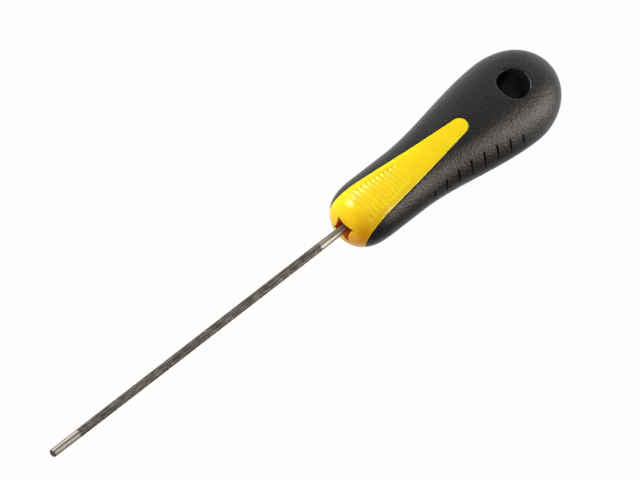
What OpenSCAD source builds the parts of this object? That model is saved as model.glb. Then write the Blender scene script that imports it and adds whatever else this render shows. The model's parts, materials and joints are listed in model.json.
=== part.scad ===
// Chainsaw file with handle
//
// A round steel file whose tang is wedged into a moulded handle. The handle has a hard core
// with a bare nose and two tongues, a tang socket inside the core and a soft grip round it.
// All lengths are in millimetres. The file lies along X with its tip at +X, and the tongues
// face up and down. Positions along the handle are distances behind the nose.

/* [File] */
// Diameter over the teeth
file_d = 3.2; // [3.2:0.1:4.8]
// Length of file in front of the nose
file_len = 150; // [100:1:250]
// Length of the plain end at the tip
tip_len = 13; // [4:0.5:25]
// Length of the plain heel in front of the nose
heel_len = 12; // [4:0.5:25]
// How far the teeth stand above the plain ends
tooth_h = 0.05; // [0.02:0.01:0.1]
// How much the plain ends lose in radius, away from the teeth
end_taper = 0.05; // [0.02:0.01:0.1]
// Chamfer round the end of the tip
tip_chamfer = 0.3; // [0.1:0.05:0.8]

/* [Tang] */
// Length of plain heel behind the nose, up to the taper
shank_len = 12; // [9.5:0.5:20]
// Length of the taper
taper_len = 32; // [20:1:45]
// Diameter at the end of the taper
tang_end_d = 1.4; // [0.8:0.1:2.4]

/* [Socket] */
// Diameter of the socket's barrel
socket_d = 12.4; // [12:0.2:14]
// Distance from the nose to the barrel's front face
barrel_at = 4; // [3.5:0.1:8]
// Depth of the neck's front below the surface of the nose
neck_recess = 0.4; // [0.2:0.1:1]
// Wall of the neck round the mouth
neck_wall = 0.5; // [0.4:0.1:0.7]
// Radius of the mouth at its four points
mouth_point_r = 5.1; // [4.4:0.1:5.2]
// Radius of the mouth midway between its points
mouth_waist_r = 3; // [2.6:0.1:3.1]
// Distance from the nose to the bottom of the mouth
mouth_depth = 8; // [6:0.5:9]
// Room behind the end of the tang
tang_end_gap = 1; // [0.5:0.1:3]
// Wall that closes the socket behind the tang
socket_end_wall = 2; // [1:0.5:4]
// Radial clearance between the file and its socket
tang_gap = 0.05; // [0.02:0.01:0.1]

/* [Handle] */
// Length from the nose to the rear end
handle_len = 107.8; // [104:0.2:130]
// Diameter of the straight front
front_d = 24.4; // [23:0.2:32]
// Width of the belly
belly_w = 35.4; // [34:0.2:44]
// Length of the rounded nose
nose_len = 16.3; // [12:0.1:18]
// Fullness of the nose: 2 makes it an ellipse and more makes its front flatter
nose_power = 2.8; // [2:0.1:3.2]
// Distance from the nose to the start of the flare
flare_at = 32; // [20:0.5:44]
// Distance from the nose to the belly
belly_at = 86.2; // [84:0.1:90]
// Height across the flats above and below the belly
pad_h = 31.4; // [29:0.1:33]
// Distance from the nose to where the flats start to lean
pad_at = 74.5; // [71:0.5:76]
// Lean of the flats towards the nose, in degrees
pad_lean = 3.2; // [1:0.1:5]

/* [Core] */
// Width of the tongue's outline at the front of the nose
tongue_root_w = 19.2; // [17:0.1:21]
// Width of the tongue at its round end
tongue_end_w = 6.4; // [4:0.1:8]
// Distance from the nose to the end of the tongue
tongue_len = 59.8; // [50:0.1:66]
// Thickness of soft grip over the stem, at its thinnest
grip_wall = 3; // [2:0.1:4]
// Distance from the nose to the front of the stem
stem_at = 11; // [10:0.5:14]
// Distance from the nose to the rear end of the stem
stem_end = 73; // [68:0.5:75]

/* [Ribs] */
// Number of grooves across the tongue
rib_count = 11; // [6:1:12]
// Distance from the nose to the first groove
rib_at = 6.1; // [4:0.1:8]
// Distance from groove to groove
rib_pitch = 2; // [1.8:0.1:3]
// Width of a groove at the surface
rib_w = 1.1; // [0.8:0.1:1.2]
// Depth of a groove
rib_depth = 0.4; // [0.2:0.05:0.6]
// Plain margin beside the grooves
rib_margin = 2.5; // [0.6:0.1:3]

/* [Grip] */
// Number of grooves along the flank
groove_count = 8; // [3:1:8]
// Distance from the nose to the first flank groove
groove_at = 35.1; // [33:0.1:44]
// Distance from groove to groove on the flank
groove_pitch = 5.9; // [5:0.1:6.4]
// Width of a flank groove
groove_w = 1; // [0.6:0.1:1.6]
// Depth of the deepest flank groove
groove_depth = 0.6; // [0.3:0.1:1.2]
// Angle from the middle of the flank to the outer end of the longest groove
groove_angle = 37; // [25:1:45]
// Angle from the middle of the flank to the inner ends of the grooves
groove_gap_angle = 8; // [4:1:12]
// How far the oval field of grooves runs past the first and the last one
groove_margin = 7.9; // [4:0.1:10]

/* [Hang hole] */
// Distance from the nose to the middle of the hole
hole_at = 84.5; // [83:0.5:90]
// Diameter of the hang hole
hole_d = 12; // [8:0.5:13]
// Rounding of the hole's rims
hole_lip = 1.2; // [0.6:0.1:1.6]

/* [Hidden] */
$fn = 96;
// Reach of the cutters past the surfaces that they cut
over = 2;
// Steps in a quarter turn of a rounding
arc_steps = 8;
// Steps along the flare
flare_steps = 16;

tooth_r = file_d / 2;
plain_r = tooth_r - tooth_h;
end_r = plain_r - end_taper;
taper_end = shank_len + taper_len;
socket_end = taper_end + tang_end_gap + socket_end_wall;
front_r = front_d / 2;
belly_r = belly_w / 2;
pad_z = pad_h / 2;
tail_len = handle_len - belly_at;
stem_r = front_r - grip_wall;
tongue_end_r = tongue_end_w / 2;
tongue_root_y = tongue_root_w / 2;
tongue_arc_at = tongue_len - tongue_end_r;
tongue_slope = (tongue_root_y - tongue_end_r) / tongue_arc_at;
tongue_lean = atan(tongue_slope);
groove_reach = (groove_count - 1) * groove_pitch / 2 + groove_margin;
groove_mid = groove_at - groove_margin + groove_reach;

// The origin is the middle of the whole length, on the file's axis
middle = (file_len - handle_len) / 2;

// Radius of the handle at a distance behind the nose
function ease(t) = t * t * (3 - 2 * t);
function nose_r(d) = front_r * pow(1 - pow(1 - d / nose_len, nose_power), 1 / nose_power);
function flare_r(d) = front_r + (belly_r - front_r) * ease((d - flare_at) / (belly_at - flare_at));
function tail_r(d) = belly_r * sqrt(1 - pow((d - belly_at) / tail_len, 2));
function body_r(d) =
    d < nose_len ? nose_r(d)
    : d < flare_at ? front_r
    : d < belly_at ? flare_r(d)
    : tail_r(min(d, handle_len));

// Half width of the tongue at a distance behind the nose
function tongue_y(d) = tongue_root_y - d * tongue_slope;

// Share of the longest groove's reach and depth, for an oval field of grooves
function groove_share(d) = sqrt(1 - pow((d - groove_mid) / groove_reach, 2));

// Mouth outline: four points on the diagonals, joined by arcs that bow inwards
mouth_corner = mouth_point_r * sin(45);
function bow_r(waist, corner) =
    (pow(corner - waist, 2) + pow(corner, 2)) / (2 * (corner - waist));
function mouth_r(a, waist, bow) =
    (waist + bow) * cos(a) - sqrt(bow * bow - pow((waist + bow) * sin(a), 2));
function mouth_points(waist, corner) = [
    for (quarter = [0:3])
        for (step = [0:2 * arc_steps - 1])
            let (a = -45 + 45 * step / arc_steps)
            mouth_r(a, waist, bow_r(waist, corner))
                * [cos(a + 90 * quarter), sin(a + 90 * quarter)]
];

// Outline of the tongue from above, one half of it, starting in front of the nose
tongue_half = concat(
    [[over, tongue_y(-over)]],
    [for (i = [0:arc_steps])
        let (a = (90 - tongue_lean) * (1 - i / arc_steps))
        [-tongue_arc_at - tongue_end_r * cos(a), tongue_end_r * sin(a)]]
);

// Turns a profile of [radius, position] points about the X axis
module lathe() {
    rotate([0, 90, 0])
        rotate_extrude()
            children();
}

// Extrudes an outline seen from above through the whole handle
module through_height() {
    translate([0, 0, -belly_w / 2])
        linear_extrude(height = belly_w)
            children();
}

// Extrudes an outline seen from the front, between two distances behind the nose
module along_axis(front, rear) {
    translate([-rear, 0, 0])
        rotate([90, 0, 90])
            linear_extrude(height = rear - front)
                children();
}

// Whole outside of the handle: a turned shape with flats above and below
module handle_body() {
    lean_z = pad_z - (pad_at + over) * tan(pad_lean);
    intersection() {
        lathe()
            polygon(concat(
                [for (i = [0:2 * arc_steps])
                    let (a = 45 * i / arc_steps)
                    [front_r * pow(sin(a), 2 / nose_power),
                        nose_len * (pow(cos(a), 2 / nose_power) - 1)]],
                [for (i = [0:flare_steps - 1])
                    let (d = flare_at + (belly_at - flare_at) * i / flare_steps)
                    [flare_r(d), -d]],
                [for (i = [0:2 * arc_steps])
                    let (a = 45 * i / arc_steps)
                    [belly_r * cos(a), -belly_at - tail_len * sin(a)]]
            ));
        translate([0, belly_w, 0])
            rotate([90, 0, 0])
                linear_extrude(height = 2 * belly_w)
                    polygon([
                        [over, lean_z],
                        [-pad_at, pad_z],
                        [-handle_len - over, pad_z],
                        [-handle_len - over, -pad_z],
                        [-pad_at, -pad_z],
                        [over, -lean_z]
                    ]);
    }
}

// Bare nose and tongue, cut through the whole height
module bare_zone() {
    count = len(tongue_half);
    through_height()
        polygon(concat(
            tongue_half,
            [for (i = [count - 2:-1:0]) [tongue_half[i][0], -tongue_half[i][1]]]
        ));
}

// Barrel and neck of the tang socket, which the core is moulded round
module socket_outside() {
    along_axis(barrel_at, socket_end)
        circle(d = socket_d);
    intersection() {
        along_axis(0, barrel_at + neck_wall)
            polygon(mouth_points(mouth_waist_r + neck_wall, mouth_corner + neck_wall));
        translate([-neck_recess, 0, 0])
            handle_body();
    }
}

module mouth(front, rear) {
    along_axis(front, rear)
        polygon(mouth_points(mouth_waist_r, mouth_corner));
}

// Round steel file with its tang
module file() {
    color("slategray")
        translate([-middle, 0, 0])
            lathe()
                polygon([
                    [0, file_len],
                    [end_r - tip_chamfer, file_len],
                    [end_r, file_len - tip_chamfer],
                    [plain_r, file_len - tip_len],
                    [tooth_r, file_len - tip_len],
                    [tooth_r, heel_len],
                    [plain_r, heel_len],
                    [end_r, -shank_len],
                    [tang_end_d / 2, -taper_end],
                    [0, -taper_end]
                ]);
}

// Hard insert that holds the tang, with the pointed mouth at its front
module tang_socket() {
    color("firebrick")
        translate([-middle, 0, 0])
            difference() {
                socket_outside();
                mouth(0, mouth_depth);
                lathe()
                    polygon([
                        [0, heel_len],
                        [plain_r + tang_gap, heel_len],
                        [end_r + tang_gap, -shank_len],
                        [tang_end_d / 2 + tang_gap, -taper_end],
                        [tang_end_d / 2 + tang_gap, -taper_end - tang_end_gap],
                        [0, -taper_end - tang_end_gap]
                    ]);
            }
}

// Grooves across the tongues, as one turned cutter
module rib_grooves() {
    far = rib_at + rib_count * rib_pitch;
    intersection() {
        lathe()
            for (i = [0:rib_count - 1]) {
                d = rib_at + i * rib_pitch;
                polygon([
                    [body_r(d) - rib_depth, -d + rib_w / 4],
                    [body_r(d) - rib_depth, -d - rib_w / 4],
                    [body_r(d + rib_w / 2) + rib_depth, -d - rib_w * 3 / 4],
                    [body_r(d - rib_w / 2) + rib_depth, -d + rib_w * 3 / 4]
                ]);
            }
        through_height()
            polygon([
                [over, tongue_y(-over) - rib_margin],
                [-far, tongue_y(far) - rib_margin],
                [-far, rib_margin - tongue_y(far)],
                [over, rib_margin - tongue_y(-over)]
            ]);
    }
}

// Stem of the core, inside the grip
module stem() {
    along_axis(stem_at, stem_end)
        circle(r = stem_r);
}

// Hard moulding: nose, tongues and stem
module core() {
    color("gold")
        translate([-middle, 0, 0])
            difference() {
                union() {
                    intersection() {
                        handle_body();
                        bare_zone();
                    }
                    stem();
                }
                socket_outside();
                mouth(-over, barrel_at);
                rib_grooves();
            }
}

// Hang hole with rounded rims
module hang_hole() {
    translate([-hole_at, 0, 0]) {
        cylinder(d = hole_d, h = pad_h + over, center = true);
        for (side = [0, 1])
            mirror([0, 0, side])
                rotate_extrude()
                    polygon(concat(
                        [[0, pad_z - hole_lip]],
                        [for (i = [0:arc_steps])
                            let (a = 90 * i / arc_steps)
                            [hole_d / 2 + hole_lip * (1 - cos(a)), pad_z + hole_lip * (sin(a) - 1)]],
                        [[hole_d / 2 + hole_lip, pad_z + over], [0, pad_z + over]]
                    ));
    }
}

// Short cuts above and below the middle of one flank, each running out at both ends
module flank_grooves() {
    for (i = [0:groove_count - 1]) {
        d = groove_at + i * groove_pitch;
        outer_angle = groove_angle * groove_share(d);
        half_angle = (outer_angle - groove_gap_angle) / 2;
        depth = groove_depth * groove_share(d);
        shift = depth / (1 - cos(half_angle));
        for (side = [0, 1])
            mirror([0, 0, side])
                along_axis(d - groove_w / 2, d + groove_w / 2)
                    rotate(groove_gap_angle + half_angle)
                        difference() {
                            translate([0, -belly_w])
                                square([belly_w, 2 * belly_w]);
                            translate([-shift, 0])
                                circle(r = body_r(d) - depth + shift);
                        }
    }
}

// Soft moulding round the core
module grip() {
    color("dimgray")
        translate([-middle, 0, 0])
            difference() {
                handle_body();
                bare_zone();
                stem();
                hang_hole();
                flank_grooves();
            }
}

file();
tang_socket();
core();
grip();
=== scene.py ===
"""Looks of the chainsaw file with handle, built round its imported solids.

Shapes are worked out in millimetres. Along the handle, d is a distance behind the nose, and round it,
theta is an angle from the top (+Z) towards +Y. The function place() turns both into the part's frame.
"""
import json
import math

import bmesh
import bpy
import numpy as np
from mathutils import Matrix, Vector
from mathutils.kdtree import KDTree

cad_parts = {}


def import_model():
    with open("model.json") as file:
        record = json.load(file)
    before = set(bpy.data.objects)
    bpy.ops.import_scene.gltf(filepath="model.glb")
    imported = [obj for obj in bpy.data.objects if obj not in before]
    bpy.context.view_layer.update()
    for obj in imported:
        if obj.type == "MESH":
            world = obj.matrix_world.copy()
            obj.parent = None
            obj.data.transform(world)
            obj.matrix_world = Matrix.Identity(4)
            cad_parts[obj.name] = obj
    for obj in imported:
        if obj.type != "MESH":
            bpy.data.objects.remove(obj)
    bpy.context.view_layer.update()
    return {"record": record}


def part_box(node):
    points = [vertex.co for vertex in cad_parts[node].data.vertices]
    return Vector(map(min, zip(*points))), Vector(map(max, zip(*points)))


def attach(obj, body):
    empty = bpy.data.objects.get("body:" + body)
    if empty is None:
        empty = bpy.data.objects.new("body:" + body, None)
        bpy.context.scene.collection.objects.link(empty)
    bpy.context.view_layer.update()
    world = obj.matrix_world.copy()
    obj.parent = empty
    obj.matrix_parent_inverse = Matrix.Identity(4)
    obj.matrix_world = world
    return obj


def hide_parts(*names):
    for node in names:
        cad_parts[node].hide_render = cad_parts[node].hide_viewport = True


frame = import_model()

MM = 0.001
Y_AXIS = 1
Z_AXIS = 2
MOUNTS = {mount["name"]: mount for mount in frame["record"]["mounts"]}
FILE_BOX = [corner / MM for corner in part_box("file")]
GRIP_BOX = [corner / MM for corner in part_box("grip")]
SOCKET_BOX = [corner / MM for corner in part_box("tang_socket")]

# File
FILE_LEN = 150.0
NOSE_X = FILE_BOX[1].x - FILE_LEN
TOOTH_R = MOUNTS["file_rod"]["dims"]["r_mm"]
TOOTH_H = 0.05
END_TAPER = 0.05
TIP_LEN = 13.0
HEEL_LEN = 12.0
PLAIN_R = TOOTH_R - TOOTH_H
END_R = PLAIN_R - END_TAPER
TIP_CHAMFER = 0.3
SHANK_LEN = 12.0
TANG_END = NOSE_X - FILE_BOX[0].x
TANG_END_R = 0.7
TOOTH_STARTS = 15
TOOTH_SLANT = math.radians(14)
TOOTH_DEPTH = 0.11
TOOTH_RISE = 0.7
TOOTH_RUN_OUT = 1.2

# Handle, with flats above and below that give way to an oval towards the rear
FRONT_R = 12.2
BELLY_R = GRIP_BOX[1].y
HANDLE_LEN = NOSE_X - GRIP_BOX[0].x
NOSE_LEN = 16.3
NOSE_POWER = 2.8
FLARE_AT = 32.0
BELLY_AT = 86.2
TAIL_LEN = HANDLE_LEN - BELLY_AT
PAD_Z = GRIP_BOX[1].z
PAD_AT = 74.5
PAD_LEAN = math.radians(3.2)
PAD_BLEND = 2.6
PAD_RISE = 0.12
OVAL_FROM = 50.0
OVAL_AT = 76.0

# Tongue of the core, its seam with the grip and its ribs
TONGUE_ROOT_Y = 9.6
TONGUE_END_R = 3.2
TONGUE_LEN = 59.8
TONGUE_ARC_AT = TONGUE_LEN - TONGUE_END_R
TONGUE_SLOPE = (TONGUE_ROOT_Y - TONGUE_END_R) / TONGUE_ARC_AT
SEAM_ROUND = {"core": 0.35, "grip": 0.5}
RIB_COUNT = 11
RIB_AT = 6.1
RIB_PITCH = 2.0
RIB_HALF_W = 1.0
RIB_DEPTH = 0.4
RIB_MARGIN = 2.5
RIB_END = 0.5

# Grooves on one flank of the grip
GROOVE_COUNT = 8
GROOVE_AT = 35.1
GROOVE_PITCH = 5.9
GROOVE_FLOOR = 0.28
GROOVE_EDGE = 0.55
GROOVE_DEPTH = 0.6
GROOVE_ANGLE = math.radians(37)
GROOVE_GAP_ANGLE = math.radians(8)
GROOVE_BLUNT = 0.3
GROOVE_MARGIN = 7.9
GROOVE_REACH = (GROOVE_COUNT - 1) * GROOVE_PITCH / 2 + GROOVE_MARGIN
GROOVE_MID = GROOVE_AT - GROOVE_MARGIN + GROOVE_REACH

# Hang hole, with a collar of mesh that runs round it
HOLE_AT = NOSE_X - MOUNTS["hang_hole"]["pos_m"][0] / MM
HOLE_R = MOUNTS["hang_hole"]["dims"]["r_mm"]
HOLE_LIP = 1.2
COLLAR_R = 9.0

# Mouth in the nose and the socket behind it
MOUTH_POINT_R = 5.1
MOUTH_WAIST_R = 3.0
MOUTH_ROUND = 0.3
MOUTH_DEPTH = 8.0
MOUTH_TAPER = 0.35
MOUTH_RING_R = 7.2
NECK_WALL = 0.5
NECK_RECESS = 0.4
BARREL_AT = 4.0
BARREL_R = SOCKET_BOX[1].y
BARREL_END = NOSE_X - SOCKET_BOX[0].x
BORE_END = TANG_END + 1.0
TANG_GAP = 0.05

# Thickness of the moulded shells
CORE_WALL = 2.9
GRIP_WALL = 1.0

# Rows of mesh along the handle: their spacing, and how it grows away from a turn
WIDE_STEP = 0.7
NOSE_STEP = 0.2
RIB_STEP = 0.17
GROOVE_STEP = 0.11
GROOVE_STEP_PAST = 0.15
TURN_STEP = 0.015
TURN_GROWTH = 0.3
SEAM_POINTS_PER_ROW = 3

# Columns of mesh round the handle: distances from a seam, evenly spread ones, and where each kind holds
EDGE_STEPS = {
    "core": (0.42, 0.32, 0.22, 0.13, 0.06, 0.0),
    "grip": (0.6, 0.46, 0.34, 0.23, 0.14, 0.06, 0.0),
}
EVEN_COLUMNS = {"core": 55, "grip": 54}
EDGE_ROOM = 3
CORE_EDGE_LEAD = 0.8
CORE_EDGE_RUN = 1.2
GRIP_EDGE_PAST = 1.5

# Rows and columns of mesh in the mouth, the socket, the hang hole and the file
MOUTH_EDGE = (0.0, 0.04, 0.1, 0.18, 0.3, NECK_WALL)
MOUTH_RING_ROWS = 15
SOCKET_COLUMNS = 240
SOCKET_FLOOR_SHARES = (0.05, 0.5, 0.95, 1.0)
SOCKET_WALL_SHARES = (0.03, 0.2, 0.4, 0.6, 0.8, 0.96, 1.0)
SOCKET_SHARP = math.radians(40)
COLLAR_ROWS = 7
LIP_ROWS = 12
BORE_ROWS = 9
TOOTH_COLUMNS = 8
TOOTH_INSET = 0.3
FILE_ROWS = {"tip": 12, "teeth": 260, "heel": 16, "tang": 24}
FILE_SHARP = math.radians(50)

# Limits of the working
STATION_SAMPLES = 6000
ANGLE_HALVINGS = 40
FRONT_HALVINGS = 50
WELD = 0.002
LEAST_EDGE = WELD / 4
LEAST_R = 1e-6
LEAST_COSINE = 1e-3
ROW_MATCH = 1e-9

# Camera, from the handle's outline and the file's length in the photo
VIEW_ALONG = 0.5169
VIEW_LEAN = math.radians(15.2)
VIEW_ROLL = math.radians(37.71)
PIXELS_PER_MM = 2.83
NOSE_PIXEL = (342.35, 229.5)
CENTRE_PIXEL = (320, 240)
IMAGE_W = 640
CAMERA_DISTANCE = 8000.0
CAMERA_REACH = 100000.0
SENSOR_W = 36.0

# Stage, with lengths in metres and brightness as shares of white
FLOOR_HALF = 3.0
FLOOR_SEEN = 0.97
FLOOR_BRIGHT = 0.95
# FLOOR_DIM and the span from FLOOR_DIM_FROM_Y to FLOOR_DIM_Y set a painted shadow on the floor, seen only in
# reflections
FLOOR_DIM = 0.15
FLOOR_DIM_FROM_Y = 0.012
FLOOR_DIM_Y = 0.03
WORLD_WHITE_X = -0.75
WORLD_FADED_X = -0.45
WORLD_FADED = 0.7

# Angle from the top at which the right flank mirrors its strip
SHEEN_ANGLE = math.radians(43)


def ease(t):
    """Smooth step from 0 to 1."""
    t = np.clip(t, 0, 1)
    return t * t * (3 - 2 * t)


def roll_off(distance, radius):
    """How far a rounded edge falls at a distance from it."""
    rest = 1 - np.clip(distance / radius, 0, 1)
    return radius * (1 - np.sqrt(np.clip(1 - rest * rest, 0, 1)))


def turned_r(d):
    """Radius of the turned outline of the handle."""
    d = np.asarray(d, float)
    nose = (1 - (1 - np.clip(d, 0, NOSE_LEN) / NOSE_LEN) ** NOSE_POWER) ** (1 / NOSE_POWER)
    flare = FRONT_R + (BELLY_R - FRONT_R) * ease((d - FLARE_AT) / (BELLY_AT - FLARE_AT))
    tail = np.sqrt(np.clip(1 - (np.clip(d - BELLY_AT, 0, TAIL_LEN) / TAIL_LEN) ** 2, 0, 1))
    return nose * flare * tail


def lesser(flat, turned):
    """The lesser of two radii, with a rounded change from one to the other."""
    share = np.clip(0.5 + 0.5 * (flat - turned) / PAD_BLEND, 0, 1)
    return flat + (turned - flat) * share - PAD_BLEND * share * (1 - share)


def surface_r(d, theta):
    """Radius of the handle's outside, where the flats above and below blend into the turned outline.
    Towards the rear the flats give way to an oval of the same height."""
    turned = turned_r(d)
    flat_z = PAD_Z + PAD_RISE - np.clip(PAD_AT - d, 0, None) * math.tan(PAD_LEAN)
    across = np.clip(np.abs(np.cos(theta)), LEAST_COSINE, None)
    flat = lesser(flat_z / across, turned)
    top = np.clip(lesser(flat_z, turned), LEAST_R, None)
    oval = 1 / np.hypot(np.cos(theta) / top, np.sin(theta) / np.clip(turned, LEAST_R, None))
    return flat + (oval - flat) * ease((d - OVAL_FROM) / (OVAL_AT - OVAL_FROM))


def angle_at(d, y):
    """Angle from the top at which the outside is y away from the middle plane, at most a quarter turn."""
    d, y = np.broadcast_arrays(np.asarray(d, float), np.asarray(y, float))
    low = np.zeros(d.shape)
    high = np.full(d.shape, math.pi / 2)
    for _ in range(ANGLE_HALVINGS):
        middle = (low + high) / 2
        inside = surface_r(d, middle) * np.sin(middle) < y
        low = np.where(inside, middle, low)
        high = np.where(inside, high, middle)
    return np.where(y <= 0, 0, high)


def tongue_y(d):
    """Half width of the tongue, 0 behind its end."""
    line = TONGUE_ROOT_Y - TONGUE_SLOPE * d
    past = np.clip(d - TONGUE_ARC_AT, 0, TONGUE_END_R)
    arc = np.sqrt(np.clip(TONGUE_END_R ** 2 - past ** 2, 0, None))
    return np.where(d < TONGUE_ARC_AT, line, arc)


def seam_angle(d):
    """Angle from the top to the seam between the core and the grip."""
    return angle_at(d, tongue_y(d))


def mouth_r(theta, wall=0.0):
    """Radius of the four-pointed mouth, or of an outline a wall's thickness outside it."""
    waist = MOUTH_WAIST_R + wall
    corner = MOUTH_POINT_R * math.sin(math.pi / 4) + wall
    bow = ((corner - waist) ** 2 + corner ** 2) / (2 * (corner - waist))
    a = np.mod(theta + math.pi / 4, math.pi / 2) - math.pi / 4
    return (waist + bow) * np.cos(a) - np.sqrt(bow * bow - ((waist + bow) * np.sin(a)) ** 2)


def nose_d(r):
    """Distance behind the nose at which the rounded nose has a radius."""
    return NOSE_LEN * (1 - (1 - (r / FRONT_R) ** NOSE_POWER) ** (1 / NOSE_POWER))


def inward(d, r, depth):
    """Place along the handle and radius of a point that lies a depth below the outside."""
    step = 0.01
    slope = (turned_r(d + step) - turned_r(d - step)) / (2 * step)
    return d + depth * slope / np.hypot(1, slope), r - depth / np.hypot(1, slope)


def place(d, theta, r):
    """Points in the part's frame, in millimetres."""
    d, theta, r = np.broadcast_arrays(d, theta, r)
    return np.stack([NOSE_X - d, r * np.sin(theta), r * np.cos(theta)], -1)


def stations(start, end, spacing):
    """Places from start to end whose spacing follows a function of the place."""
    fine = np.linspace(start, end, STATION_SAMPLES)
    middle = (fine[1:] + fine[:-1]) / 2
    count = np.concatenate([[0], np.cumsum(np.diff(fine) / spacing(middle))])
    steps = max(2, int(round(count[-1])))
    return np.interp(np.linspace(0, count[-1], steps + 1), count, fine)


def nearest_groove(d):
    """Place of the flank groove that is nearest to a place along the handle."""
    index = np.clip(np.round((d - GROOVE_AT) / GROOVE_PITCH), 0, GROOVE_COUNT - 1)
    return GROOVE_AT + GROOVE_PITCH * index


def row_spacing(d):
    """Spacing of the rows of mesh: fine across ribs and grooves, and where a seam or a rim turns."""
    wide = np.full(d.shape, WIDE_STEP)
    ribs = np.where(d < RIB_AT + RIB_COUNT * RIB_PITCH, RIB_STEP, wide)
    near_groove = np.abs(d - nearest_groove(d)) < GROOVE_EDGE + GROOVE_STEP_PAST
    spacing = np.minimum(ribs, np.where(near_groove, GROOVE_STEP, wide))
    for turn in (SEAM_FRONT, TONGUE_LEN, HOLE_AT - COLLAR_R, HOLE_AT + COLLAR_R, HANDLE_LEN):
        spacing = np.minimum(spacing, TURN_STEP + TURN_GROWTH * np.sqrt(np.abs(d - turn)))
    return spacing


def seam_front():
    """Distance behind the nose at which the two seams of a flank meet."""
    low, high = 0.0, NOSE_LEN
    for _ in range(FRONT_HALVINGS):
        middle = (low + high) / 2
        if turned_r(middle) < tongue_y(np.array(middle)):
            low = middle
        else:
            high = middle
    return high


SEAM_FRONT = seam_front()
SEAM_ROWS = stations(SEAM_FRONT, TONGUE_LEN, row_spacing)


def seam_tree():
    """Points along the four seams, for finding how far a point is from them."""
    d = stations(SEAM_FRONT, TONGUE_LEN, lambda x: row_spacing(x) / SEAM_POINTS_PER_ROW)
    theta = seam_angle(d)
    points = []
    for angle in (theta, -theta, math.pi - theta, math.pi + theta):
        points.append(place(d, angle, surface_r(d, angle)))
    points = np.concatenate(points)
    tree = KDTree(len(points))
    for index, point in enumerate(points):
        tree.insert(point, index)
    tree.balance()
    return tree


SEAM_TREE = seam_tree()


def seam_fall(points, radius):
    """How far a shell's surface falls towards the seam at each point of a grid."""
    flat = points.reshape(-1, 3)
    distance = np.array([SEAM_TREE.find(point)[2] for point in flat])
    return roll_off(distance, radius).reshape(points.shape[:-1])


def grid_faces(rows, columns, first, flip, closed):
    """Four-sided faces of a grid of points whose first point has the given index."""
    row = np.arange(rows - 1)[:, None] * columns
    column = np.arange(columns if closed else columns - 1)[None, :]
    after = (column + 1) % columns
    corners = [first + row + column, first + row + after, first + row + columns + after,
               first + row + columns + column]
    faces = np.stack(np.broadcast_arrays(*corners), -1).reshape(-1, 4)
    return faces[:, ::-1] if flip else faces


def build(name, grids, shell=0.0):
    """Object made of grids of points in millimetres, welded where they meet. Each grid is
    (points, flip, closed), and a shell thickness turns the open surface into a closed wall."""
    points, faces, first = [], [], 0
    for grid, flip, closed in grids:
        rows, columns = grid.shape[:2]
        points.append(grid.reshape(-1, 3))
        faces.append(grid_faces(rows, columns, first, flip, closed))
        first += rows * columns
    points = np.concatenate(points) * MM
    mesh = bpy.data.meshes.new(name)
    mesh.from_pydata(points.tolist(), [], np.concatenate(faces).tolist())
    work = bmesh.new()
    work.from_mesh(mesh)
    bmesh.ops.remove_doubles(work, verts=work.verts, dist=WELD * MM)
    bmesh.ops.dissolve_degenerate(work, edges=work.edges, dist=LEAST_EDGE * MM)
    work.to_mesh(mesh)
    work.free()
    mesh.shade_smooth()
    obj = bpy.data.objects.new(name, mesh)
    bpy.context.scene.collection.objects.link(obj)
    if shell:
        solid = obj.modifiers.new("shell", "SOLIDIFY")
        solid.thickness = shell * MM
        solid.offset = -1
    return obj


def mirrored(points, axis):
    """A grid mirrored across the plane through the middle of the part."""
    copy = points.copy()
    copy[..., axis] *= -1
    return copy


def edge_columns(limit, r, piece, whole):
    """Angles from 0 to limit, one row of mesh for each limit: evenly spread where whole is 0, and with
    a piece's columns at fixed distances from the edge where whole is 1, drawn together in a short row."""
    offsets = np.array(EDGE_STEPS[piece])
    even_count = EVEN_COLUMNS[piece]
    count = even_count + len(offsets)
    even = np.arange(count) / (count - 1)
    length = limit * r
    shrink = np.minimum(1, length / (EDGE_ROOM * offsets[0]))
    reach = np.clip(length - shrink * offsets[0], 0, None)
    inside = reach[:, None] * (np.arange(even_count) / even_count)[None, :]
    close = length[:, None] - shrink[:, None] * offsets[None, :]
    kept = np.concatenate([inside, close], 1) / np.clip(r, LEAST_R, None)[:, None]
    return even[None, :] * limit[:, None] * (1 - whole)[:, None] + kept * whole[:, None]


def rib_fall(d, y):
    """Depth of the grooves across the tongue."""
    nearest = np.clip(np.round((d - RIB_AT) / RIB_PITCH), 0, RIB_COUNT - 1) * RIB_PITCH + RIB_AT
    across = 0.5 + 0.5 * np.cos(math.pi * np.clip(np.abs(d - nearest) / RIB_HALF_W, 0, 1))
    along = ease((tongue_y(d) - RIB_MARGIN - np.abs(y)) / RIB_END + 0.5)
    return RIB_DEPTH * across * along


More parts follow.
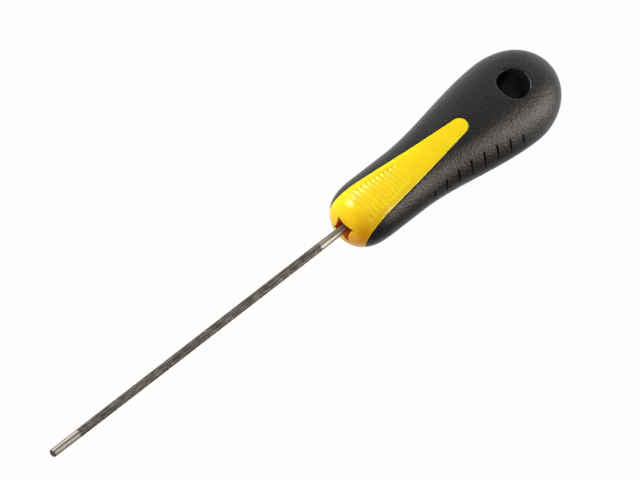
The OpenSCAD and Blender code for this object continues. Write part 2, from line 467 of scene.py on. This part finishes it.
def core():
    """Hard moulding: the nose with its mouth, and the two tongues."""
    nose_rows = stations(nose_d(MOUTH_RING_R), SEAM_FRONT, lambda x: np.full(x.shape, NOSE_STEP))
    d = np.concatenate([nose_rows[:-1], SEAM_ROWS])
    whole = ease((d - SEAM_FRONT + CORE_EDGE_LEAD) / CORE_EDGE_RUN)
    half = edge_columns(seam_angle(d), turned_r(d), "core", whole)
    theta = np.concatenate([-half[:, :0:-1], half], 1)
    rows = d[:, None]
    skin = surface_r(rows, theta)
    fall = seam_fall(place(rows, theta, skin), SEAM_ROUND["core"]) + rib_fall(rows, skin * np.sin(theta))
    ring_out, ring_in = mouth_ring(theta[0])
    outside = np.concatenate([ring_out[:-1], place(rows, theta, skin - fall)])
    deep_d, deep_r = inward(rows, skin, CORE_WALL)
    inside = np.concatenate([ring_in[:-1], place(deep_d, theta, deep_r)])
    seam = slice(len(outside) - len(SEAM_ROWS), None)
    left = np.stack([outside[seam, 0], inside[seam, 0]])
    right = np.stack([outside[seam, -1], inside[seam, -1]])
    grids = [(outside, False, False), (inside, True, False), (left, False, False), (right, True, False)]
    grids += [(mirrored(grid, Z_AXIS), not flip, closed) for grid, flip, closed in grids]
    return build("core_shell", grids)


def mouth_ring(theta):
    """Nose between the mouth and a circle round it, with the rounded rim of the mouth: its outside, and
    its inside, which clears the neck of the socket."""
    rim = mouth_r(theta)
    edge = MOUTH_EDGE[-1]
    share = np.linspace(0, 1, MOUTH_RING_ROWS + 1)[1:]
    steps = [np.full(theta.shape, e) for e in MOUTH_EDGE]
    steps += [edge + (MOUTH_RING_R - rim - edge) * s for s in share]
    wall = place(nose_d(rim) + NECK_RECESS, theta, rim)
    outside, inside = [wall], [wall]
    for step in steps:
        r = rim + step
        depth = NECK_RECESS + (CORE_WALL - NECK_RECESS) * ease(step / NECK_WALL - 1)
        outside.append(place(nose_d(r) + roll_off(step, MOUTH_ROUND), theta, r))
        inside.append(place(nose_d(r) + depth, theta, r))
    return np.stack(outside), np.stack(inside)


def groove_fall(d, theta):
    """Depth of the short grooves above and below the middle of a flank: their outer ends are blunt and
    lie on an oval, and their inner ends run out."""
    nearest = nearest_groove(d)
    share = np.sqrt(np.clip(1 - ((nearest - GROOVE_MID) / GROOVE_REACH) ** 2, 0, 1))
    across = 1 - ease((np.abs(d - nearest) - GROOVE_FLOOR) / (GROOVE_EDGE - GROOVE_FLOOR))
    half = (GROOVE_ANGLE * share - GROOVE_GAP_ANGLE) / 2
    off = np.abs(theta - math.pi / 2) - GROOVE_GAP_ANGLE - half
    rest = np.clip(1 - (1 - np.cos(off)) / (1 - np.cos(half)), 0, 1)
    return GROOVE_DEPTH * share * across * np.where(off > 0, rest ** GROOVE_BLUNT, rest)


def opening_angle(d):
    """Angle from the top at which the grip starts: at the seam, at the hole's collar or at the top."""
    collar = np.sqrt(np.clip(COLLAR_R ** 2 - (d - HOLE_AT) ** 2, 0, None))
    return np.where(d <= TONGUE_LEN, seam_angle(d), angle_at(d, collar))


def grip():
    """Soft moulding: both flanks and the rear, with the grooves of one flank and the hang hole."""
    bounds = (TONGUE_LEN, HOLE_AT - COLLAR_R, HOLE_AT + COLLAR_R, HANDLE_LEN)
    d = SEAM_ROWS
    for start, end in zip(bounds[:-1], bounds[1:]):
        d = np.concatenate([d[:-1], stations(start, end, row_spacing)])
    whole = ease((TONGUE_LEN + GRIP_EDGE_PAST - d) / (2 * GRIP_EDGE_PAST))
    half = edge_columns(math.pi / 2 - opening_angle(d), turned_r(d), "grip", whole)
    theta = np.concatenate([math.pi / 2 - half[:, :0:-1], math.pi / 2 + half], 1)
    rows = d[:, None]
    skin = surface_r(rows, theta)
    fall = seam_fall(place(rows, theta, skin), SEAM_ROUND["grip"])
    plain = place(rows, theta, np.clip(skin - fall, 0, None))
    grooved = place(rows, theta, np.clip(skin - fall - groove_fall(rows, theta), 0, None))
    grids = [(grooved, False, False), (mirrored(plain, Y_AXIS), True, False)]
    grids += hole_collar(d[np.abs(d - HOLE_AT) <= COLLAR_R + ROW_MATCH])
    return build("grip_shell", grids, GRIP_WALL)


def hole_collar(rows):
    """Surface round the hang hole, its rounded rims and its bore."""
    y = np.sqrt(np.clip(COLLAR_R ** 2 - (rows - HOLE_AT) ** 2, 0, None))
    around = np.arctan2(y, HOLE_AT - rows)
    around = np.concatenate([around, -around[-2:0:-1]])
    outer = np.linspace(COLLAR_R, HOLE_R + HOLE_LIP, COLLAR_ROWS)
    turn = np.linspace(0, math.pi / 2, LIP_ROWS + 1)[1:]
    reach = np.concatenate([outer, HOLE_R + HOLE_LIP * (1 - np.sin(turn))])[:, None]
    d = HOLE_AT - reach * np.cos(around)
    side = reach * np.sin(around)
    theta = angle_at(d, np.abs(side))
    z = surface_r(d, theta) * np.cos(theta) - roll_off(reach - HOLE_R, HOLE_LIP)
    top = np.stack([NOSE_X - d, side, z], -1)
    high = top[-1]
    low = mirrored(high, Z_AXIS)
    share = np.linspace(0, 1, BORE_ROWS)[:, None, None]
    bore = high * (1 - share) + low * share
    return [(top, False, True), (mirrored(top, Z_AXIS), True, True), (bore, False, True)]


def tang_socket():
    """Hard insert: the pointed mouth, the tapered bore behind it and the barrel round it. Its profile
    is a list of (radius, distance behind the nose)."""
    theta = np.linspace(0, 2 * math.pi, SOCKET_COLUMNS, endpoint=False)
    inner = mouth_r(theta)
    outer = mouth_r(theta, NECK_WALL)
    front_in = nose_d(inner) + NECK_RECESS
    front_out = nose_d(outer) + NECK_RECESS
    bore_r = END_R + TANG_GAP
    end_r = TANG_END_R + TANG_GAP
    deep = bore_r + (inner - bore_r) * MOUTH_TAPER
    profile = [(0.0, BORE_END), (end_r, BORE_END), (end_r, TANG_END)]
    profile += [(bore_r, SHANK_LEN), (bore_r, MOUTH_DEPTH)]
    profile += [(bore_r + (deep - bore_r) * s, MOUTH_DEPTH) for s in SOCKET_FLOOR_SHARES]
    profile += [(deep + (inner - deep) * s, MOUTH_DEPTH + (front_in - MOUTH_DEPTH) * s)
                for s in SOCKET_WALL_SHARES]
    profile += [(outer, front_out), (outer, BARREL_AT)]
    profile += [(BARREL_R, BARREL_AT), (BARREL_R, BARREL_END), (0.0, BARREL_END)]
    grid = np.stack([place(d, theta, r) for r, d in profile])
    obj = build("tang_socket_insert", [(grid, True, True)])
    obj.data.set_sharp_from_angle(angle=SOCKET_SHARP)
    return obj


def file():
    """Steel rod: chamfered tip, plain end, slanting teeth, plain heel and tapered tang."""
    columns = TOOTH_STARTS * TOOTH_COLUMNS
    phase = np.arange(columns) * 2 * math.pi / columns
    tooth = np.mod(np.arange(columns), TOOTH_COLUMNS) / TOOTH_COLUMNS
    cut = np.where(tooth < TOOTH_RISE, tooth / TOOTH_RISE, (1 - tooth) / (1 - TOOTH_RISE))
    tip_end = -FILE_LEN + TIP_LEN
    heel_end = -HEEL_LEN
    d = np.concatenate([
        [-FILE_LEN, -FILE_LEN, -FILE_LEN + TIP_CHAMFER / 3, -FILE_LEN + TIP_CHAMFER],
        np.linspace(-FILE_LEN + 2 * TIP_CHAMFER, tip_end, FILE_ROWS["tip"]),
        np.linspace(tip_end + TOOTH_INSET, heel_end - TOOTH_INSET, FILE_ROWS["teeth"]),
        np.linspace(heel_end, SHANK_LEN, FILE_ROWS["heel"]),
        np.linspace(SHANK_LEN, TANG_END, FILE_ROWS["tang"])[1:],
        [TANG_END],
    ])
    toothed = np.clip(np.minimum(d - tip_end, heel_end - d) / TOOTH_RUN_OUT, 0, 1)
    ends = np.clip(np.maximum(tip_end - d, d - heel_end), 0, None)
    plain = PLAIN_R + (END_R - PLAIN_R) * np.clip(ends / TIP_LEN, 0, 1)
    taper = END_R + (TANG_END_R - END_R) * np.clip((d - SHANK_LEN) / (TANG_END - SHANK_LEN), 0, 1)
    radius = np.where(d > SHANK_LEN, taper, np.where(toothed > 0, TOOTH_R, plain))
    radius = radius - np.clip(TIP_CHAMFER - (d + FILE_LEN), 0, None)
    radius[0] = 0
    radius[-1] = 0
    r = radius[:, None] - TOOTH_DEPTH * toothed[:, None] * (1 - cut[None, :])
    twist = math.tan(TOOTH_SLANT) / TOOTH_R * (d - tip_end)
    grid = place(d[:, None], phase[None, :] + twist[:, None], r)
    obj = build("file_rod", [(grid, False, True)])
    obj.data.set_sharp_from_angle(angle=FILE_SHARP)
    return obj


def camera():
    """Camera on the photo's line of sight, which it returns as the direction towards the viewer."""
    across = math.sqrt(1 - VIEW_ALONG * VIEW_ALONG)
    view = Vector((VIEW_ALONG, across * math.sin(VIEW_LEAN), across * math.cos(VIEW_LEAN)))
    file_line = (Vector((1, 0, 0)) - VIEW_ALONG * view) / across
    side_line = view.cross(file_line)
    right = -math.cos(VIEW_ROLL) * file_line + math.sin(VIEW_ROLL) * side_line
    up = -math.sin(VIEW_ROLL) * file_line - math.cos(VIEW_ROLL) * side_line
    aim = Vector((NOSE_X, 0, 0))
    aim -= right * ((NOSE_PIXEL[0] - CENTRE_PIXEL[0]) / PIXELS_PER_MM)
    aim += up * ((NOSE_PIXEL[1] - CENTRE_PIXEL[1]) / PIXELS_PER_MM)
    data = bpy.data.cameras.new("camera")
    data.sensor_width = SENSOR_W
    data.lens = SENSOR_W * CAMERA_DISTANCE * PIXELS_PER_MM / IMAGE_W
    data.clip_end = CAMERA_REACH * MM
    obj = bpy.data.objects.new("camera", data)
    bpy.context.scene.collection.objects.link(obj)
    turn = Matrix((right, up, view)).transposed().to_4x4()
    turn.translation = (aim + view * CAMERA_DISTANCE) * MM
    obj.matrix_world = turn
    bpy.context.scene.camera = obj
    return view


def set_inputs(tree, node, inputs):
    """Links a node's inputs to sockets, or sets them to values."""
    for name, source in inputs.items():
        if isinstance(source, bpy.types.NodeSocket):
            tree.links.new(source, node.inputs[name])
        else:
            node.inputs[name].default_value = source


def node_adder(tree):
    """Function that adds a node to a tree and sets its inputs."""
    def add(kind, inputs=None, **values):
        node = tree.nodes.new(kind)
        for key, value in values.items():
            setattr(node, key, value)
        set_inputs(tree, node, inputs or {})
        return node

    return add


def new_material(name):
    """Material, its tree and shader, and a function that adds nodes to it."""
    material = bpy.data.materials.new(name)
    material.use_nodes = True
    tree = material.node_tree
    return material, tree, tree.nodes["Principled BSDF"], node_adder(tree)


def colour_ramp(add, value, stops):
    """Colour that follows a value through stops of (place, colour)."""
    node = add("ShaderNodeValToRGB", {"Fac": value})
    ramp = node.color_ramp
    while len(ramp.elements) < len(stops):
        ramp.elements.new(0.5)
    for element, (position, colour) in zip(ramp.elements, stops):
        element.position = position
        element.color = (*colour, 1)
    return node.outputs["Color"]


def colour_mix(tree, add, share, first, second):
    """Colour between two, each a socket or a value. The node has sockets of the same name for each kind
    of value, so those for colours are picked by number."""
    node = add("ShaderNodeMix", {"Factor": share}, data_type="RGBA")
    first_colour = 6
    second_colour = 7
    mixed_colour = 2
    set_inputs(tree, node, {first_colour: first, second_colour: second})
    return node.outputs[mixed_colour]


def yellow_plastic():
    """Satin yellow moulding with faint mottling and a fine texture."""
    material, tree, shader, add = new_material("yellow_plastic")
    where = add("ShaderNodeTexCoord").outputs["Object"]
    mottle = add("ShaderNodeTexNoise", {"Vector": where, "Scale": 180.0, "Detail": 3.0, "Roughness": 0.6})
    colour = colour_ramp(add, mottle.outputs["Fac"], [
        (0.3, (0.83, 0.68, 0.002)),
        (0.7, (0.87, 0.73, 0.004)),
    ])
    fine = add("ShaderNodeTexNoise", {"Vector": where, "Scale": 2600.0, "Detail": 2.0})
    rough = add("ShaderNodeMapRange", {"Value": fine.outputs["Fac"], "To Min": 0.2, "To Max": 0.3})
    bump = add("ShaderNodeBump", {"Height": fine.outputs["Fac"], "Strength": 0.25, "Distance": 0.00003})
    set_inputs(tree, shader, {
        "Base Color": colour,
        "Roughness": rough.outputs["Result"],
        "Normal": bump.outputs["Normal"],
        "Specular IOR Level": 0.3,
        "Subsurface Weight": 0.6,
        "Subsurface Radius": (1.0, 0.3, 0.05),
        "Subsurface Scale": 0.002,
    })
    return material


def red_plastic():
    """Glossy red moulding."""
    material, tree, shader, add = new_material("red_plastic")
    where = add("ShaderNodeTexCoord").outputs["Object"]
    mottle = add("ShaderNodeTexNoise", {"Vector": where, "Scale": 400.0, "Detail": 3.0})
    colour = colour_ramp(add, mottle.outputs["Fac"], [
        (0.3, (0.92, 0.24, 0.035)),
        (0.7, (0.96, 0.28, 0.045)),
    ])
    rough = add("ShaderNodeMapRange", {"Value": mottle.outputs["Fac"], "To Min": 0.15, "To Max": 0.25})
    set_inputs(tree, shader, {
        "Base Color": colour,
        "Roughness": rough.outputs["Result"],
        "Specular IOR Level": 0.8,
        "Subsurface Weight": 0.3,
        "Subsurface Radius": (1.0, 0.2, 0.1),
        "Subsurface Scale": 0.001,
    })
    return material


def black_rubber():
    """Soft black moulding with a fine grain that catches the light, and painted shade that dims its gloss
    where occluded.
    """
    material, tree, shader, add = new_material("black_rubber")
    where = add("ShaderNodeTexCoord").outputs["Object"]
    grain = add("ShaderNodeTexNoise", {"Vector": where, "Scale": 1500.0, "Detail": 4.0, "Roughness": 0.7})
    cloud = add("ShaderNodeTexNoise", {"Vector": where, "Scale": 130.0, "Detail": 4.0, "Roughness": 0.6})
    colour = colour_ramp(add, grain.outputs["Fac"], [
        (0.4, (0.004, 0.0037, 0.0034)),
        (0.6, (0.009, 0.0085, 0.008)),
        (0.7, (0.05, 0.048, 0.045)),
    ])
    rough = add("ShaderNodeMapRange", {"Value": cloud.outputs["Fac"], "To Min": 0.27, "To Max": 0.37})
    coarse = add("ShaderNodeTexNoise", {"Vector": where, "Scale": 1000.0, "Detail": 2.0, "Roughness": 0.5})
    swell = add("ShaderNodeBump", {"Height": coarse.outputs["Fac"], "Strength": 1.0, "Distance": 0.00018})
    bump = add("ShaderNodeBump", {"Height": grain.outputs["Fac"], "Strength": 1.0, "Distance": 0.00015,
                                  "Normal": swell.outputs["Normal"]})
    # Painted shade: reflections are dimmed where the surface is occluded, in the hang hole, the grooves and
    # along the flanks near the floor
    occlusion_shade = add("ShaderNodeAmbientOcclusion", {"Distance": 0.06})
    gloss = add("ShaderNodeMapRange", {"Value": occlusion_shade.outputs["AO"], "From Min": 0.3, "From Max": 0.6,
                                       "To Min": 0.03, "To Max": 0.25})
    set_inputs(tree, shader, {
        "Base Color": colour,
        "Roughness": rough.outputs["Result"],
        "Normal": bump.outputs["Normal"],
        "Specular IOR Level": gloss.outputs["Result"],
    })
    return material


def file_steel():
    """Toothed steel, mottled and dark between plain bright ends with streaks along the rod."""
    material, tree, shader, add = new_material("file_steel")
    where = add("ShaderNodeTexCoord").outputs["Object"]
    x = add("ShaderNodeSeparateXYZ", {"Vector": where}).outputs["X"]
    stretch = add("ShaderNodeMapping", {"Vector": where, "Location": (0.0, 0.011, 0.0),
                                        "Scale": (0.02, 1.0, 1.0)})
    streak = add("ShaderNodeTexNoise", {"Vector": stretch.outputs["Vector"], "Scale": 1500.0, "Detail": 3.0})
    bright = colour_ramp(add, streak.outputs["Fac"], [
        (0.42, (0.12, 0.105, 0.09)),
        (0.5, (0.29, 0.26, 0.22)),
        (0.6, (0.44, 0.41, 0.36)),
    ])
    shorten = add("ShaderNodeMapping", {"Vector": where, "Scale": (0.15, 1.0, 1.0)})
    mottle = add("ShaderNodeTexNoise", {"Vector": shorten.outputs["Vector"], "Scale": 1800.0, "Detail": 3.0})
    dull = colour_ramp(add, mottle.outputs["Fac"], [
        (0.38, (0.055, 0.049, 0.042)),
        (0.5, (0.1, 0.09, 0.079)),
        (0.64, (0.18, 0.165, 0.147)),
    ])
    ends = plain_ends(add, x)
    chamfer_from = (NOSE_X + FILE_LEN - TIP_CHAMFER) * MM
    chamfer_fade = 0.1 * TIP_CHAMFER * MM
    face = add("ShaderNodeMapRange", {"Value": x, "From Min": chamfer_from,
                                      "From Max": chamfer_from + chamfer_fade})
    rod = colour_mix(tree, add, ends, dull, bright)
    rough = add("ShaderNodeMapRange", {"Value": ends, "To Min": 0.55, "To Max": 0.52})
    set_inputs(tree, shader, {
        "Base Color": colour_mix(tree, add, face.outputs["Result"], rod, (0.1, 0.085, 0.07, 1)),
        "Roughness": rough.outputs["Result"],
        "Metallic": 1.0,
    })
    return material


def plain_ends(add, x):
    """Share that is 0 along the toothed length of the file and 1 past its ends."""
    teeth_from = (NOSE_X + HEEL_LEN) * MM
    teeth_to = (NOSE_X + FILE_LEN - TIP_LEN) * MM
    middle = (teeth_from + teeth_to) / 2
    half = (teeth_to - teeth_from) / 2
    fade_from = half - 0.6 * MM
    fade_to = half + 0.4 * MM
    shift = add("ShaderNodeMath", {0: x, 1: middle}, operation="SUBTRACT")
    off = add("ShaderNodeMath", {0: shift.outputs["Value"]}, operation="ABSOLUTE")
    share = add("ShaderNodeMapRange", {"Value": off.outputs["Value"], "From Min": fade_from,
                                       "From Max": fade_to, "To Min": 0.0, "To Max": 1.0})
    return share.outputs["Result"]


def light_paths(add, seen, reflected):
    """One share for rays from the camera, another for rays off gloss and through glass, 0 for the rest."""
    paths = add("ShaderNodeLightPath").outputs
    direct = add("ShaderNodeMath", {0: paths["Is Camera Ray"], 1: seen}, operation="MULTIPLY")
    bent = add("ShaderNodeMath", {0: paths["Is Glossy Ray"], 1: paths["Is Transmission Ray"]},
               operation="MAXIMUM")
    return add("ShaderNodeMath", {0: bent.outputs["Value"], 1: reflected, 2: direct.outputs["Value"]},
               operation="MULTIPLY_ADD").outputs["Value"]


def world():
    """White surroundings for rays that see or mirror them, dimmer towards the front where they are
    mirrored, and a faint warm light for the rest."""
    data = bpy.data.worlds.new("studio")
    data.use_nodes = True
    tree = data.node_tree
    add = node_adder(tree)
    seen = add("ShaderNodeBackground", {"Color": (1, 1, 1, 1), "Strength": 1.0})
    ambient = tree.nodes["Background"]
    set_inputs(tree, ambient, {"Color": (1.0, 0.6, 0.3, 1), "Strength": 0.08})
    towards = add("ShaderNodeTexCoord").outputs["Generated"]
    forward = add("ShaderNodeSeparateXYZ", {"Vector": towards}).outputs["X"]
    fade = add("ShaderNodeMapRange", {"Value": forward, "From Min": WORLD_WHITE_X, "From Max": WORLD_FADED_X,
                                      "To Min": 1.0, "To Max": WORLD_FADED})
    share = light_paths(add, 1.0, fade.outputs["Result"])
    mix = add("ShaderNodeMixShader", {0: share, 1: ambient.outputs[0], 2: seen.outputs[0]})
    set_inputs(tree, tree.nodes["World Output"], {"Surface": mix.outputs[0]})
    bpy.context.scene.world = data


def floor():
    """Wide white floor under the handle, which keeps a faint shadow. Where it is mirrored, a painted shadow
    makes it dim to the right of the handle, and it is bright again at the rear end."""
    z = -PAD_Z * MM
    corners = [(x * FLOOR_HALF, y * FLOOR_HALF, z) for x, y in ((-1, -1), (1, -1), (1, 1), (-1, 1))]
    mesh = bpy.data.meshes.new("floor")
    mesh.from_pydata(corners, [], [(0, 1, 2, 3)])
    obj = bpy.data.objects.new("floor", mesh)
    bpy.context.scene.collection.objects.link(obj)
    material, tree, shader, add = new_material("floor_white")
    set_inputs(tree, shader, {"Base Color": (0.6, 0.4, 0.25, 1), "Roughness": 1.0, "Specular IOR Level": 0.0})
    where = add("ShaderNodeTexCoord").outputs["Object"]
    split = add("ShaderNodeSeparateXYZ", {"Vector": where})
    # Painted shadow where the floor is mirrored: dim to the right of the handle, from the hang hole forwards
    dim = add("ShaderNodeMapRange", {"Value": split.outputs["X"], "From Min": GRIP_BOX[0].x * MM,
                                     "From Max": (NOSE_X - HOLE_AT) * MM,
                                     "To Min": FLOOR_BRIGHT, "To Max": FLOOR_DIM})
    fade = add("ShaderNodeMapRange", {"Value": split.outputs["Y"], "From Min": FLOOR_DIM_FROM_Y,
                                      "From Max": FLOOR_DIM_Y,
                                      "To Min": FLOOR_BRIGHT, "To Max": dim.outputs["Result"]})
    glow = add("ShaderNodeEmission", {"Strength": light_paths(add, 1.0, fade.outputs["Result"])})
    share = light_paths(add, FLOOR_SEEN, 1.0)
    mix = add("ShaderNodeMixShader", {0: share, 1: shader.outputs[0], 2: glow.outputs[0]})
    set_inputs(tree, tree.nodes["Material Output"], {"Surface": mix.outputs[0]})
    mesh.materials.append(material)


def softbox(name, behind, direction, distance, length, width, power, colour=(1, 1, 1), reflected=True):
    """Area light that faces a place on the axis behind the nose, with its length along the file, and
    that gloss mirrors or not. Its distance, length and width are in metres."""
    data = bpy.data.lights.new(name, "AREA")
    data.shape = "RECTANGLE"
    data.size = length
    data.size_y = width
    data.energy = power
    data.color = colour
    obj = bpy.data.objects.new(name, data)
    bpy.context.scene.collection.objects.link(obj)
    target = Vector(((NOSE_X - behind) * MM, 0, 0))
    back = direction.normalized()
    along = (Vector((1, 0, 0)) - back * back.x).normalized()
    turn = Matrix((along, back.cross(along), back)).transposed().to_4x4()
    turn.translation = target + back * distance
    obj.matrix_world = turn
    obj.visible_glossy = reflected


def lights(view):
    """Softbox on the left, a warm one in front of the nose that gloss doesn't mirror, a weak one behind
    the rear end, and a strip that the right flank mirrors towards the camera."""
    softbox("left_softbox", behind=HANDLE_LEN / 2, direction=Vector((0.34, -0.72, 0.6)),
            distance=0.9, length=0.55, width=0.42, power=10.3)
    softbox("front_softbox", behind=0, direction=Vector((0.9, 0.15, 0.3)),
            distance=0.9, length=0.7, width=0.7, power=3.0, colour=(1, 0.26, 0.08), reflected=False)
    softbox("rear_softbox", behind=HANDLE_LEN, direction=Vector((-0.9, -0.22, 0.37)),
            distance=0.6, length=0.5, width=0.5, power=0.7)
    normal = Vector((0, math.sin(SHEEN_ANGLE), math.cos(SHEEN_ANGLE)))
    softbox("right_softbox", behind=BELLY_AT, direction=2 * normal.dot(view) * normal - view,
            distance=0.25, length=0.19, width=0.12, power=0.8, colour=(1, 0.92, 0.82))


def dress(obj, node, body, material):
    """Stands a piece for its solid, on its body and with its finish."""
    obj.data.materials.append(material)
    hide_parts(node)
    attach(obj, body)


lights(camera())
world()
floor()
dress(file(), "file", "file", file_steel())
dress(tang_socket(), "tang_socket", "handle", red_plastic())
dress(core(), "core", "handle", yellow_plastic())
dress(grip(), "grip", "handle", black_rubber())
bpy.context.scene.view_settings.view_transform = "Standard"
